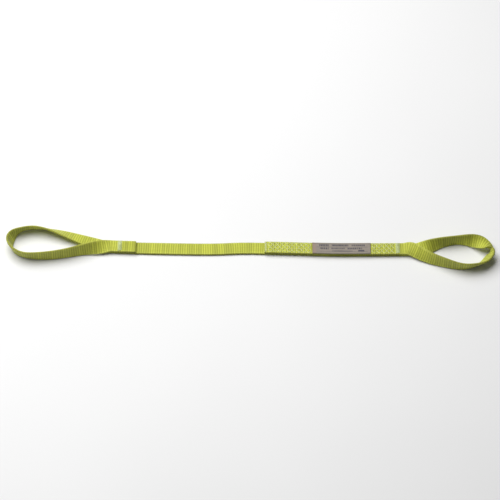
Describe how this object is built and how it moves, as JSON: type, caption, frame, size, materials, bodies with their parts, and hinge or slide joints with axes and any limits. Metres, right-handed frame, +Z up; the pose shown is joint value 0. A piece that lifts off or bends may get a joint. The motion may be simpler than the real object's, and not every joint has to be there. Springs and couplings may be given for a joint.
{
  "type": "eye and eye web sling",
  "caption": "Flat woven lifting sling with a half-twisted loop at each end, sewn splices, a sewn-on label and a thin flexible middle.",
  "frame": {"origin": "on the resting surface, under the middle of the sling's bounding box as it lies", "axes": "+X along the sling towards the labelled end, +Y across it away from the front, +Z up"},
  "size_m": [0.8955, 0.1001, 0.0266],
  "materials": {
    "webbing": "bright yellow-green woven polyester with cross ribs",
    "thread": "pale yellow sewing thread",
    "label": "matt grey-brown coated label"
  },
  "bodies": {
    "right_splice": {"right_splice_web": "webbing", "right_tail": "webbing", "label": "label", "label_stitching": "thread", "right_eye_bartack": "thread", "right_eye_bartack_underside": "thread", "right_tail_bartack": "thread", "right_tail_bartack_underside": "thread", "needle_row_inner_1": "thread", "needle_row_inner_2": "thread", "needle_row_inner_3": "thread", "needle_row_inner_4": "thread", "needle_row_outer_1": "thread", "needle_row_outer_2": "thread", "needle_row_outer_3": "thread", "needle_row_outer_4": "thread", "bobbin_row_1": "thread", "bobbin_row_2": "thread", "bobbin_row_3": "thread", "bobbin_row_4": "thread"},
    "middle_right": {"middle_web_right": "webbing"},
    "middle_left": {"middle_web_left": "webbing"},
    "left_splice": {"left_splice_web": "webbing", "left_tail": "webbing", "left_eye_bartack": "thread", "left_eye_bartack_underside": "thread"},
    "left_eye": {"left_eye_near_leg": "webbing", "left_eye_bow": "webbing", "left_eye_far_leg": "webbing"},
    "right_eye": {"right_eye_far_leg": "webbing", "right_eye_bow": "webbing", "right_eye_near_leg": "webbing"}
  },
  "joints": [
    {"name": "right_fold", "type": "hinge", "parent": "right_splice", "child": "middle_right", "pos_m": [0, 0.0012, 0.0027], "axis": [0, 1, 0], "range_deg": [-50, 50]},
    {"name": "middle_fold", "type": "hinge", "parent": "middle_right", "child": "middle_left", "pos_m": [-0.097, -0.0005, 0.0027], "axis": [0, 1, 0], "range_deg": [-50, 50]},
    {"name": "left_fold", "type": "hinge", "parent": "middle_left", "child": "left_splice", "pos_m": [-0.195, 0.0016, 0.0027], "axis": [0, 1, 0], "range_deg": [-50, 50]},
    {"name": "left_eye_fold", "type": "hinge", "parent": "left_splice", "child": "left_eye", "pos_m": [-0.252, 0.004, 0.00485], "axis": [0, 1, 0], "range_deg": [-90, 90]},
    {"name": "right_eye_fold", "type": "hinge", "parent": "right_splice", "child": "right_eye", "pos_m": [0.282, -0.0025, 0.00485], "axis": [0, 1, 0], "range_deg": [-90, 90]}
  ]
}
